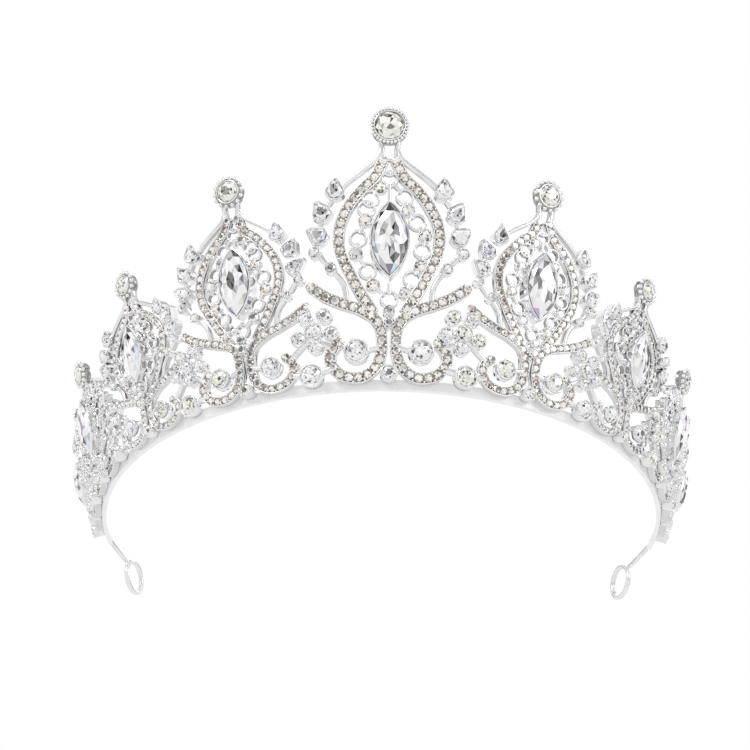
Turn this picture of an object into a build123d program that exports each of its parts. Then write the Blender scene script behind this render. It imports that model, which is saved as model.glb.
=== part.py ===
from build123d import *
from math import atan2, ceil, cos, pi, radians, sin, sqrt
import os

# A bridal tiara: nine openwork panels cast in silver-plated alloy and set with
# glass stones, on a thin rim band that ends in two bare wires with an eye each.
# Millimetres. It stands on its rim, front towards -Y, +X to its own right.

# ---- the whole ring
rim_radius = 71.0            # front face of the panels, at the level they stand on
flare = 13.5                 # how far the panels lean outwards, in degrees
plate = 1.4                  # thickness of the cast openwork
panel_edges = [14.2, 39.6, 62.8, 82.0, 96.0]    # joints between panels, in degrees from the front
finial_heights = [63.4, 51.7, 40.0, 30.2, 21.5]   # middle of the top stone, up the slope
marquise_heights = [35.0, 28.6, 21.9, 15.6, 11.2]
marquise_lengths = [18.0, 16.6, 14.0, 14.2, 11.4]
marquise_widths = [9.0, 8.2, 6.6, 7.0, 5.6]
finial_radii = [3.5, 2.6, 2.1, 2.0, 1.9]        # of the top stones

# ---- the rim band and the end wires
band_thickness = 1.0
band_height = 2.2
band_overrun = 3.4           # degrees of bare band past the last panel
wire_radius = 0.6
eye_wire_radius = 0.65
eye_radius = 4.15            # middle of the eye's wire
eye_reach = 40.0             # eye's middle behind the middle of the ring
eye_spread = 63.9            # eye's middle to the side
eye_turn = 15                # degrees the eye is turned inwards from its wire

# ---- stones and their settings
pave_radius = 1.05
pave_pitch = 2.5
pave_width = 2.7             # width of a band that carries pave stones
cup_wall = 0.5
cup_floor = 0.4
cup_height = 1.5
seat_gap = 0.03              # glue between a setting and the curved face under it
marquise_wall = 0.7
marquise_cup_height = 2.3
finial_beads = 14
crown_rise = 0.5             # height of a stone above its cup, as a share of its radius

# ---- the motif, drawn for the front panel: x from its middle, then height up the slope
motif_half_width = 19.0
motif_height = finial_heights[0]
ogee = [
    (1.5, 55.0), (3.4, 50.9), (6.4, 47.9), (9.2, 44.2), (11.1, 40.3),
    (11.8, 36.0), (11.1, 31.7), (9.1, 27.2), (7.1, 23.3), (3.6, 17.6),
]
scroll = [
    (18.3, 24.3), (14.6, 21.7), (10.2, 19.7), (6.0, 18.1), (2.4, 15.0), (1.6, 9.4),
    (2.9, 4.7), (6.4, 2.1), (10.8, 2.7), (13.3, 5.7), (13.1, 8.6), (11.2, 10.6),
]
inner_arm = [(13.4, 28.4), (11.5, 26.2), (10.3, 23.8), (9.8, 20.7)]
shoulder = [(1.9, 57.6), (3.4, 54.9), (6.6, 52.3), (10.2, 49.4), (12.6, 46.6)]
side_stem = [(12.6, 46.8), (15.4, 42.0), (16.4, 36.6), (16.2, 32.2), (13.4, 28.4)]
neck = [(1.6, 54.6), (1.7, 57.0), (2.0, 60.0)]
curl_stone = (7.4, 8.2)
column_stones = [(0.0, 17.8), (0.0, 14.9)]
drop_stone = (0.0, 2.9)
leaf_stones = [(12.7, 47.4, -4), (15.6, 42.0, 28), (16.4, 36.4, 52)]    # x, height, lean of the tip
side_stones = [(17.2, 32.3), (13.4, 28.4)]
left_chain = [    # from the top ring round the marquise to the bottom ring; True where a stone sits
    (-2.2, 48.3, True), (-4.4, 45.6, False), (-5.4, 43.0, False), (-5.6, 40.2, True),
    (-7.3, 35.8, False), (-7.7, 32.1, True), (-5.0, 27.8, False), (-3.7, 24.3, True),
]
right_chain = [
    (3.6, 46.0, False), (4.4, 42.7, True), (6.6, 39.8, False), (8.4, 36.7, True),
    (7.8, 32.9, False), (7.4, 29.2, True), (5.4, 25.9, False), (3.9, 22.4, True),
]
top_ring = (0.0, 50.4, False)
crest_ring = (0.0, 53.3, False)
bottom_ring = (0.0, 20.9, False)
filigree_radius = 1.45       # of the small stones round the marquise
ring_radius = 1.6            # outside of the small open rings
curl_stone_radius = 2.5
leaf_width = 3.4
leaf_length = 4.6

# ---- the cluster on each joint between panels: x from the joint, height, stone radius
cluster = [
    (-1.0, 13.7, 1.4), (-3.6, 17.2, 1.2), (0.7, 16.9, 1.2),
    (-5.1, 12.8, 1.2), (2.5, 12.2, 1.2), (-1.3, 10.1, 1.2),
]
cluster_backing = 3.7
joint_stone_radius = 2.35
cluster_scales = [1.0, 0.9, 0.75, 0.65, 0.6]


def outward(angle):
    # level direction out of the ring, at an angle from the front
    return Vector(sin(radians(angle)), -cos(radians(angle)), 0)


def along(angle):
    return Vector(cos(radians(angle)), sin(radians(angle)), 0)


def facing(angle):
    # square to the sloping front face
    return outward(angle) * cos(radians(flare)) - Vector(0, 0, 1) * sin(radians(flare))


def panel_plane(angle):
    # x runs round the ring, y runs up the slope
    return Plane(origin=outward(angle) * rim_radius, x_dir=along(angle), z_dir=facing(angle))


def seat(angle, x, height, turn=0.0):
    # a place on the curved front face, turned about its own normal
    lean = radians(flare)
    reach = rim_radius + height * sin(lean)
    square = cos(lean) ** 2 - (sin(lean) * sin(lean) / cos(lean)) ** 2
    linear = 2 * reach / cos(lean)
    sag = (-linear + sqrt(linear**2 - 4 * square * x**2)) / (2 * square)
    point = panel_plane(angle).from_local_coords((x, height, sag))
    here = atan2(point.X, -point.Y) * 180 / pi
    up = facing(here).cross(along(here))
    tilt = radians(turn)
    across = along(here) * cos(tilt) - up * sin(tilt)
    return Plane(origin=point + facing(here) * seat_gap, x_dir=across, z_dir=facing(here)).location


def curve_points(points, pitch):
    # evenly spaced points and headings along a smooth line
    line = Spline(*points)
    count = max(2, ceil(line.length / pitch) + 1)
    steps = [index / (count - 1) for index in range(count)]
    return [(line @ step, line % step) for step in steps]


def strip(points, width):
    # a flat band of even width along a smooth line, with round ends
    samples = curve_points(points, 3.0)
    left = []
    right = []
    for point, heading in samples:
        side = Vector(-heading.Y, heading.X, 0) * (width / 2)
        left.append(point + side)
        right.append(point - side)
    edges = [Spline(*left), Line(left[-1], right[-1]), Spline(*right), Line(right[0], left[0])]
    band = make_face(edges)
    ends = [Pos(*samples[index][0]) * Circle(width / 2) for index in (0, -1)]
    return [band] + ends


def disc(x, height, radius):
    return [Pos(x, height) * Circle(radius)]


def link(one, other):
    # a short bar between two neighbours, each given as x, height and outside radius
    run = Vector(other[0] - one[0], other[1] - one[1], 0)
    gap = run.length - one[2] - other[2]
    if gap < -0.3:
        return []
    start = Vector(one[0], one[1], 0) + run.normalized() * (one[2] - 0.4)
    middle = start + run.normalized() * (gap / 2 + 0.4)
    turned = atan2(run.Y, run.X) * 180 / pi
    return [Pos(middle.X, middle.Y) * Rot(0, 0, turned) * Rectangle(gap + 0.8, 0.9)]


def lens(length, width):
    # a pointed oval
    top = (0, length / 2)
    foot = (0, -length / 2)
    sides = ThreePointArc(top, (width / 2, 0), foot) + ThreePointArc(foot, (-width / 2, 0), top)
    return make_face(sides)


def drop(length, width):
    # a pear outline, round below and pointed above
    radius = width / 2
    tip = length - radius
    round_end = ThreePointArc((-radius, 0), (0, -radius), (radius, 0))
    right = ThreePointArc((radius, 0), (radius * 0.74, tip * 0.45), (0, tip))
    left = ThreePointArc((0, tip), (-radius * 0.74, tip * 0.45), (-radius, 0))
    return make_face(round_end + right + left)


def shell(first, last, inner, outer, height):
    # a slice of the sloping wall between two depths, cut level below and above
    rise = height * sin(radians(flare)) / cos(radians(flare))
    near = rim_radius + inner / cos(radians(flare))
    far = rim_radius + outer / cos(radians(flare))
    side = Plane(origin=(0, 0, 0), x_dir=outward(first), z_dir=outward(first).cross(Vector(0, 0, 1)))
    corners = [(near, 0), (far, 0), (far + rise, height), (near + rise, height)]
    return revolve(side * Polygon(*corners, align=None), Axis.Z, last - first)


def clear_of_rest(reach):
    # height up the slope at which a setting just stays above the surface that the rim stands on
    return reach + cup_height * sin(radians(flare)) + 0.1


def clear(taken, place, reach):
    # true where nothing has been set yet, and the place is then taken
    point = place.position
    if any((point - other).length < reach + radius + 0.05 for other, radius in taken):
        return False
    taken.append((point, reach))
    return True


def scaled(points, across, up):
    return [(point[0] * across, point[1] * up) + tuple(point[2:]) for point in points]


def flipped(points):
    return [(-point[0],) + tuple(point[1:]) for point in points]


def round_stone(radius):
    body = Cylinder(radius, cup_height - cup_floor, align=(Align.CENTER, Align.CENTER, Align.MIN))
    crown = Cone(radius, radius * 0.55, radius * crown_rise,
                 align=(Align.CENTER, Align.CENTER, Align.MIN))
    return Pos(0, 0, cup_floor) * (body + Pos(0, 0, cup_height - cup_floor) * crown)


def round_cup(radius, wall=cup_wall):
    outer = Cylinder(radius + wall, cup_height, align=(Align.CENTER, Align.CENTER, Align.MIN))
    pocket = Cylinder(radius, cup_height, align=(Align.CENTER, Align.CENTER, Align.MIN))
    return outer - Pos(0, 0, cup_floor) * pocket


def beaded_cup(radius):
    # a round setting with a ring of beads on its edge
    outline = Circle(radius + cup_wall + 0.35)
    for index in range(finial_beads):
        angle = 2 * pi * index / finial_beads
        reach = radius + cup_wall + 0.4
        outline += Pos(reach * cos(angle), reach * sin(angle)) * Circle(0.62)
    pocket = Cylinder(radius, cup_height, align=(Align.CENTER, Align.CENTER, Align.MIN))
    return extrude(outline, cup_height) - Pos(0, 0, cup_floor) * pocket


def shaped_stone(outline, cup, top):
    # a stone that fills a setting of the same outline and rises to a flat top
    body = extrude(outline, cup - cup_floor)
    crown = loft([outline, Pos(0, 0, top) * scale(outline, by=(0.5, 0.5, 1))])
    return Pos(0, 0, cup_floor) * (body + Pos(0, 0, cup - cup_floor) * crown)


def shaped_cup(outline, larger, cup):
    return extrude(larger, cup) - Pos(0, 0, cup_floor) * extrude(outline, cup)


def small_stone(radius):
    return Cone(radius, radius * 0.55, radius * 0.7, align=(Align.CENTER, Align.CENTER, Align.MIN))


def pave_stones(angle, points, taken):
    # a row of small stones along a band, each flat on the curved face
    stones = []
    for point, heading in curve_points(points, pave_pitch):
        place = seat(angle, point.X, point.Y)
        if point.Y > pave_radius + 0.4 and clear(taken, place, pave_radius):
            stones.append(place * small_stone(pave_radius))
    return stones


def long_setting_places(angle, height, length, width):
    # places and reaches that cover a pointed oval, so that nothing else is set on it
    radius = (length**2 + width**2) / (4 * width)
    places = []
    for step in range(-8, 9):
        up = step / 9 * length / 2
        reach = sqrt(radius**2 - up**2) - radius + width / 2
        places.append((seat(angle, 0, height + up).position, reach))
    return places


def joint_settings(edge, taken):
    # the large stone and the cluster on one joint, on the +X side
    angle = panel_edges[edge]
    shown = cluster_scales[edge]
    reach = (joint_stone_radius + cup_wall) * shown
    settings = [(0, clear_of_rest(reach), joint_stone_radius)]
    settings += scaled(cluster, shown, shown)
    cups = []
    stones = []
    for x, height, radius in settings:
        place = seat(angle, x, height)
        clear(taken, place, (radius + cup_wall) * shown)
        cups.append(place * round_cup(radius * shown, cup_wall * shown))
        stones.append(place * round_stone(radius * shown))
    return cups, stones


def panel(index, taken):
    # one panel on the +X side of the ring, or the front one
    first = -panel_edges[0] if index == 0 else panel_edges[index - 1]
    last = panel_edges[index]
    angle = (first + last) / 2
    up = finial_heights[index] / motif_height
    middle = rim_radius + 24.0 * up * sin(radians(flare))
    half_width = middle * radians((last - first) / 2)
    across = half_width / motif_half_width
    small = sqrt(across * up)
    top = finial_heights[index]
    length = marquise_lengths[index]
    width = marquise_widths[index]
    oval_middle = marquise_heights[index]
    oval_length = length + 2.6 * marquise_wall
    oval_width = width + 2 * marquise_wall
    taken += long_setting_places(angle, oval_middle, oval_length, oval_width)
    taken.append((seat(angle, 0, top).position, finial_radii[index] + cup_wall + 1.0))
    cups = []
    stones = []
    pave = []
    flat = []

    # leaf-shaped stones up both outer edges
    leaf = max(small, 0.6)
    outline = drop(leaf_length * leaf, leaf_width * leaf)
    larger = drop((leaf_length + 1.2) * leaf, (leaf_width + 0.9) * leaf)
    for x, height, lean in scaled(leaf_stones + flipped(leaf_stones), across, up):
        place = seat(angle, x, height, lean if x > 0 else -lean)
        if clear(taken, place, 0.5 * (leaf_length + 0.9) * leaf):
            flat += disc(x, height, 1.7 * leaf)
            cups.append(place * shaped_cup(outline, larger, cup_height))
            stones.append(place * shaped_stone(outline, cup_height, 0.7))

    # round stones in the curls, at the foot, up the outer edges and on the column
    rounds = [(*curl_stone, curl_stone_radius)]
    rounds += [(x, height, 1.2) for x, height in side_stones]
    rounds += flipped(rounds)
    rounds.append((*drop_stone, 1.7))
    rounds += [(x, height, 1.2) for x, height in column_stones]
    for x, height, radius in scaled(rounds, across, up):
        radius = max(radius * small, 0.8)
        wall = cup_wall * max(small, 0.6)
        height = max(height, clear_of_rest(radius + wall))
        place = seat(angle, x, height)
        if clear(taken, place, radius + wall):
            flat += disc(x, height, radius + wall)
            cups.append(place * round_cup(radius, wall))
            stones.append(place * round_stone(radius))
    stalk = [curl_stone, (4.6, 8.6), (1.6, 9.4)]
    flat += strip(scaled(stalk, across, up), 1.0)
    flat += strip(scaled(flipped(stalk), across, up), 1.0)

    # the marquise on its pad, hung in the chains of open rings and small stones round it
    flat.append(Pos(0, oval_middle) * lens(length, width))
    ends = scaled([top_ring, bottom_ring], across, up)
    chains = [
        ends[:1] + scaled(left_chain, across, up) + ends[1:],
        ends[:1] + scaled(right_chain, across, up) + ends[1:],
        scaled([crest_ring, top_ring], across, up),
    ]
    for chain in chains:
        sized = []
        for x, height, carries_stone in chain:
            if carries_stone:
                radius = max(filigree_radius * small, 0.85)
                flat += disc(x, height, radius + 0.3)
                place = seat(angle, x, height)
                if clear(taken, place, radius):
                    pave.append(place * small_stone(radius))
                sized.append((x, height, radius + 0.3))
            else:
                radius = ring_radius * max(small, 0.62)
                flat.append(Pos(x, height) * (Circle(radius + 0.35) - Circle(radius - 0.35)))
                sized.append((x, height, radius + 0.35))
        for one, other in zip(sized, sized[1:]):
            flat += link(one, other)
    flat += link((0, oval_middle + length / 2, -0.3), (0, ends[0][1], ring_radius * small))
    flat += link((0, oval_middle - length / 2, -0.3), (0, ends[1][1], ring_radius * small))
    flat += strip(scaled([(7.4, 29.2), (8.6, 29.0), (9.8, 28.8)], across, up), 0.9)
    flat += strip(scaled([(-7.7, 32.1), (-9.2, 32.1), (-10.8, 32.1)], across, up), 0.9)

    # bands with their rows of pave stones, and plain wires
    for points in (ogee, flipped(ogee), scroll, flipped(scroll)):
        line = scaled(points, across, up)
        flat += strip(line, pave_width * max(small, 0.72))
        pave += pave_stones(angle, line, taken)
    wires = [inner_arm, shoulder, side_stem, neck]
    for points in wires + [flipped(line) for line in wires]:
        flat += strip(scaled(points, across, up), 1.3 * max(small, 0.8))

    # its share of the pads under the settings on both joints
    for side, edge in ((-1, index - 1), (1, index)):
        shown = cluster_scales[max(edge, 0)]
        for x, height, radius in cluster:
            offset = -x if index == 0 and side < 0 else x
            flat += disc(side * half_width + offset * shown, height * shown, (radius + cup_wall) * shown)
        flat += disc(side * half_width, 13.9 * shown, cluster_backing * shown)
        reach = (joint_stone_radius + cup_wall) * shown
        flat += disc(side * half_width * 0.965, clear_of_rest(reach), reach)
        tie = [(side * half_width * 0.98, 12.0 * shown), (side * 12.4 * across, 9.0 * up)]
        flat += strip(tie, 1.6 * max(small, 0.7))
        foot = [(side * half_width * 0.98, 3.0), (side * 12.6 * across, 4.4 * up)]
        flat += strip(foot, 1.6 * max(small, 0.7))
    flat += disc(0, top, finial_radii[index] + cup_wall)

    drawing = Sketch() + flat
    depth = half_width**2 / rim_radius + plate + 1
    blank = panel_plane(angle) * (Pos(0, 0, -depth) * extrude(drawing, depth + 1))
    reach_past = band_overrun if index == len(panel_edges) - 1 else 0
    frame = blank & shell(first, last + reach_past, -plate, 0, 80)

    place = seat(angle, 0, top)
    finial_cup = place * beaded_cup(finial_radii[index])
    finial_stone = place * round_stone(finial_radii[index])
    place = seat(angle, 0, oval_middle)
    outline = lens(length, width)
    marquise_cup = place * shaped_cup(outline, lens(oval_length, oval_width), marquise_cup_height)
    marquise_stone = place * shaped_stone(outline, marquise_cup_height, width * 0.2)
    return {
        "frame": frame, "finial_cup": finial_cup, "finial_stone": finial_stone,
        "marquise_cup": marquise_cup, "marquise_stone": marquise_stone,
        "pave": pave, "cups": cups, "stones": stones,
    }


def end_wire():
    # bare wire from the band's end on the +X side, bent into an eye at its far end
    last = panel_edges[-1] + band_overrun
    depth = plate + band_thickness / 2
    start_height = band_height / 2 + 0.3
    start = outward(last) * (rim_radius - depth + start_height * 0.24) + Vector(0, 0, start_height)
    centre = Vector(eye_spread, eye_reach, eye_radius + eye_wire_radius)
    level = Vector(centre.X - start.X, centre.Y - start.Y, 0).normalized()
    rise = 2.25
    face = level.rotate(Axis.Z, eye_turn)
    meet = centre - face * sqrt(eye_radius**2 - rise**2) + Vector(0, 0, rise)
    bend = start + along(last) * 15.0 + Vector(0, 0, 2.4)
    path = FilletPolyline(start, bend, meet, radius=60)
    section = Plane(origin=start, z_dir=path % 0) * Circle(wire_radius)
    wire = sweep(section, path=path)
    eye = Plane(origin=centre, z_dir=face.cross(Vector(0, 0, 1))) * Torus(eye_radius, eye_wire_radius)
    return wire + eye


os.makedirs("parts", exist_ok=True)
nodes = {}
taken = []
groups = {"accent_cups": {"right": []}, "accent_stones": {"right": []}, "pave_stones": {}}
for edge in range(len(panel_edges)):
    cups, stones = joint_settings(edge, taken)
    groups["accent_cups"]["right"] += cups
    groups["accent_stones"]["right"] += stones
taken += [(Vector(-point.X, point.Y, point.Z), reach) for point, reach in taken]

for index in range(len(panel_edges)):
    made = panel(index, taken)
    side = "centre" if index == 0 else "right"
    label = side if index == 0 else f"{side}_{index}"
    for name in ("frame", "finial_cup", "finial_stone", "marquise_cup", "marquise_stone"):
        nodes[f"{label}_{name}"] = made[name]
    for name, group in (("pave", "pave_stones"), ("cups", "accent_cups"), ("stones", "accent_stones")):
        groups[group].setdefault(side, []).extend(made[name])

for group, by_side in groups.items():
    for side, shapes in by_side.items():
        nodes[f"{side}_{group}"] = Compound([solid for shape in shapes for solid in shape.solids()])

sweep_end = panel_edges[-1] + band_overrun
nodes["rim_band"] = shell(-sweep_end, sweep_end, -plate - band_thickness, -plate, band_height)
nodes["right_end_wire"] = end_wire()
for name in [name for name in nodes if name.startswith("right_")]:
    nodes[name.replace("right_", "left_")] = mirror(nodes[name], Plane.YZ)

# the origin is under the middle of the whole tiara, on the surface it stands on
box = Compound([solid for shape in nodes.values() for solid in shape.solids()]).bounding_box()
middle = (box.min.Y + box.max.Y) / 2
print("size", box.size, "lowest", box.min.Z, "shift", -middle)
os.makedirs("parts", exist_ok=True)
for name, shape in nodes.items():
    export_step(Pos(0, -middle, 0) * shape, f"parts/{name}.step")
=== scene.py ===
import math
import random
import bmesh
import bpy
from mathutils import Euler, Matrix, Vector


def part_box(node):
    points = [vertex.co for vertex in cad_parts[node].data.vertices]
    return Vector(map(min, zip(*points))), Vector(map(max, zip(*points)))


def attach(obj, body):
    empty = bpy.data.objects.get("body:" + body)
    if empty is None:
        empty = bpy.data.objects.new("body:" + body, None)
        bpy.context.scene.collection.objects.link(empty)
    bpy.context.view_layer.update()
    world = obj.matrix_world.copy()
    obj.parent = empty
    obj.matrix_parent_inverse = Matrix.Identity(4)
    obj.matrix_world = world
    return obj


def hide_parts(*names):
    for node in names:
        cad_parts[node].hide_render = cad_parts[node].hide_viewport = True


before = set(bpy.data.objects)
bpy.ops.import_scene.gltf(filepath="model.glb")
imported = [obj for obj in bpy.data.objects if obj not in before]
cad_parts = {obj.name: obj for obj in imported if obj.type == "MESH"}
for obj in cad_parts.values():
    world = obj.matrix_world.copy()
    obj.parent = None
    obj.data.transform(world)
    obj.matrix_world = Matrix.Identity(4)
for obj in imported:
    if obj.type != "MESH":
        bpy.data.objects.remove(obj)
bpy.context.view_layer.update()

mm = 0.001

# The ring of panels. Lengths in millimetres, angles in degrees from the front.
ring = {
    "rimRadius": 71.0,
    "flare": 13.5,              # how far the panels lean out
    "restBack": 1.5,            # depth of a setting behind the wall
    "restGap": 0.1,             # left between a setting and the surface it stands on
    "bandOutside": 70.09,       # the rim band's front edge at its top
    "edges": [14.2, 39.6, 62.8, 82.0, 96.0],
    "finialHeights": [63.4, 51.7, 40.0, 30.2, 21.5],
    "marquiseHeights": [35.0, 28.6, 21.9, 15.6, 11.2],
    "marquiseLengths": [18.0, 16.6, 14.0, 14.2, 11.4],
    "marquiseWidths": [9.0, 8.2, 6.6, 7.0, 5.6],
    "finialRadii": [3.5, 2.6, 2.1, 2.0, 1.9],
    "clusterScales": [1.0, 0.9, 0.75, 0.65, 0.6],
}
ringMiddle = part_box("rim_band")[0].y / mm + ring["bandOutside"]

# The motif as drawn for the front panel: x from its middle, then height up the slope.
motif = {
    "halfWidth": 19.0,
    "height": 63.4,
    "waist": 24.0,              # where the width of a panel is taken
    "ogee": [(1.5, 55.0), (3.4, 50.9), (6.4, 47.9), (9.2, 44.2), (11.1, 40.3),
             (11.8, 36.0), (11.1, 31.7), (9.1, 27.2), (7.1, 23.3), (3.6, 17.6)],
    "scroll": [(18.3, 24.3), (14.6, 21.7), (10.2, 19.7), (6.0, 18.1), (2.4, 15.0), (1.6, 9.4),
               (2.9, 4.7), (6.4, 2.1), (10.8, 2.7), (13.3, 5.7), (13.1, 8.6), (11.2, 10.6)],
    "wires": {
        "innerArm": [(13.4, 28.4), (11.5, 26.2), (10.3, 23.8), (9.8, 20.7)],
        "shoulder": [(1.9, 57.6), (3.4, 54.9), (6.6, 52.3), (10.2, 49.4), (12.6, 46.6)],
        "sideStem": [(12.6, 46.8), (15.4, 42.0), (16.4, 36.6), (16.2, 32.2), (13.4, 28.4)],
        "neck": [(1.6, 54.6), (1.7, 57.0), (2.0, 60.0)],
        "curlStalk": [(7.4, 8.2), (4.6, 8.6), (1.6, 9.4)],
    },
    "leaves": [(12.7, 47.4, 4), (15.6, 42.0, -28), (16.4, 36.4, -52)],
    "rounds": [(7.4, 8.2, 2.5), (17.2, 32.3, 1.2), (13.4, 28.4, 1.2)],
    "middleRounds": [(0.0, 2.9, 1.7), (0.0, 17.8, 1.2), (0.0, 14.9, 1.2)],
    "leftChain": [(-2.2, 48.3, "stone"), (-4.4, 45.6, "ring"), (-5.4, 43.0, "ring"),
                  (-5.6, 40.2, "stone"), (-7.3, 35.8, "ring"), (-7.7, 32.1, "stone"),
                  (-5.0, 27.8, "ring"), (-3.7, 24.3, "stone")],
    "rightChain": [(3.6, 46.0, "ring"), (4.4, 42.7, "stone"), (6.6, 39.8, "ring"),
                   (8.4, 36.7, "stone"), (7.8, 32.9, "ring"), (7.4, 29.2, "stone"),
                   (5.4, 25.9, "ring"), (3.9, 22.4, "stone")],
    "topRing": (0.0, 50.4, "ring"),
    "crestRing": (0.0, 53.3, "ring"),
    "bottomRing": (0.0, 20.9, "ring"),
    "cluster": [(-1.0, 13.7, 1.4), (-3.6, 17.2, 1.2), (0.7, 16.9, 1.2),
                (-5.1, 12.8, 1.2), (2.5, 12.2, 1.2), (-1.3, 10.1, 1.2)],
    "jointRadius": 2.35,
    "ringRadius": 1.8,
    "ringLeast": 0.62,          # smallest scale of an open ring
    "filigreeRadius": 1.45,
    "filigreeLeast": 0.85,
    "roundLeast": 0.8,
}


# Places on the sloping wall.

def wallPlace(angle, x, height, lift=0.0):
    # a seat on the curved face: x round the ring, y up the slope, z out of it
    lean = math.radians(ring["flare"])
    turn = math.radians(angle)
    outward = Vector((math.sin(turn), -math.cos(turn), 0))
    along = Vector((math.cos(turn), math.sin(turn), 0))
    facing = outward * math.cos(lean) - Vector((0, 0, math.sin(lean)))
    reach = ring["rimRadius"] + height * math.sin(lean)
    square = math.cos(lean) ** 2 - (math.sin(lean) ** 2 / math.cos(lean)) ** 2
    linear = 2 * reach / math.cos(lean)
    sag = (math.sqrt(linear**2 - 4 * square * x**2) - linear) / (2 * square)
    point = outward * ring["rimRadius"] + along * x + facing.cross(along) * height + facing * sag
    here = math.atan2(point.x, -point.y)
    along = Vector((math.cos(here), math.sin(here), 0))
    facing = Vector((math.sin(here), -math.cos(here), 0)) * math.cos(lean) - Vector((0, 0, math.sin(lean)))
    slope = facing.cross(along)
    point += facing * lift + Vector((0, ringMiddle, 0))
    place = Matrix((along, slope, facing)).transposed().to_4x4()
    place.translation = point * mm
    return place


def turned(place, degrees):
    return place @ Matrix.Rotation(math.radians(degrees), 4, "Z")


def smoothLine(points, step):
    # an even run of points on a smooth line through the given ones
    spread = [Vector(point[:2]) for point in points]
    guide = [spread[0] * 2 - spread[1]] + spread + [spread[-1] * 2 - spread[-2]]
    dense = []
    samples = 12
    for index in range(len(spread) - 1):
        before, start, end, after = guide[index:index + 4]
        for part in range(samples):
            t = part / samples
            dense.append(0.5 * (2 * start + (end - before) * t
                                + (2 * before - 5 * start + 4 * end - after) * t * t
                                + (3 * start - before - 3 * end + after) * t**3))
    dense.append(spread[-1])
    lengths = [0.0]
    for one, other in zip(dense, dense[1:]):
        lengths.append(lengths[-1] + (other - one).length)
    count = max(2, math.ceil(lengths[-1] / step))
    even = []
    index = 0
    for part in range(count + 1):
        wanted = lengths[-1] * part / count
        while index < len(dense) - 2 and lengths[index + 1] < wanted:
            index += 1
        share = (wanted - lengths[index]) / max(lengths[index + 1] - lengths[index], 1e-9)
        even.append(dense[index].lerp(dense[index + 1], share))
    return even


def makePanel(index, side):
    # sizes of one panel; side is 1 on the right, -1 on the left
    edges = ring["edges"]
    first = -edges[0] if index == 0 else edges[index - 1]
    angle = (first + edges[index]) / 2
    up = ring["finialHeights"][index] / motif["height"]
    middle = ring["rimRadius"] + motif["waist"] * up * math.sin(math.radians(ring["flare"]))
    halfWidth = middle * math.radians((edges[index] - first) / 2)
    across = halfWidth / motif["halfWidth"]
    hand = "right" if side > 0 else "left"
    label = f"{hand}_{index}" if index else "centre"
    return {
        "label": label, "index": index, "side": side, "angle": angle * side,
        "across": across, "up": up, "small": math.sqrt(across * up), "halfWidth": halfWidth,
    }


def panelPlace(panel, x, height):
    # x and height in the front panel's own drawing
    return wallPlace(panel["angle"], x * panel["across"] * panel["side"], height * panel["up"])


def clearOfRest(reach):
    # lowest place for a setting that reaches this far down
    return reach + ring["restBack"] * math.sin(math.radians(ring["flare"])) + ring["restGap"]


# Finishes.

def newFinish(name):
    finish = bpy.data.materials.new(name)
    finish.use_nodes = True
    nodes = finish.node_tree.nodes
    nodes.clear()
    output = nodes.new("ShaderNodeOutputMaterial")
    shader = nodes.new("ShaderNodeBsdfPrincipled")
    finish.node_tree.links.new(shader.outputs["BSDF"], output.inputs["Surface"])
    return finish, nodes, finish.node_tree.links, shader


def addRamp(nodes, stops):
    ramp = nodes.new("ShaderNodeValToRGB")
    ramp.color_ramp.elements[0].position = stops[0][0]
    ramp.color_ramp.elements[0].color = (*stops[0][1], 1)
    ramp.color_ramp.elements[1].position = stops[-1][0]
    ramp.color_ramp.elements[1].color = (*stops[-1][1], 1)
    for place, colour in stops[1:-1]:
        ramp.color_ramp.elements.new(place).color = (*colour, 1)
    return ramp


silverPlate = {
    "bright": (0.93, 0.93, 0.94),
    "dull": (0.82, 0.82, 0.84),
    # painted shade: the dark colour mixed into recesses, under wires and onto shaded walls
    "paintedShade": (0.34, 0.31, 0.28),
    "grain": 260.0,            # per metre, patches of uneven polish
    "pitting": 2600.0,         # per metre, fine casting grain under the plate
    "pitDepth": 0.00012,
    "smoothest": 0.06,
    "roughest": 0.22,
}
# the rim band's silver, painted lighter so that it shows washed out by light: painted brightness
rimPaintedBrightLook = {**silverPlate, "bright": (0.98, 0.98, 0.98), "dull": (0.92, 0.92, 0.93)}


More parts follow.
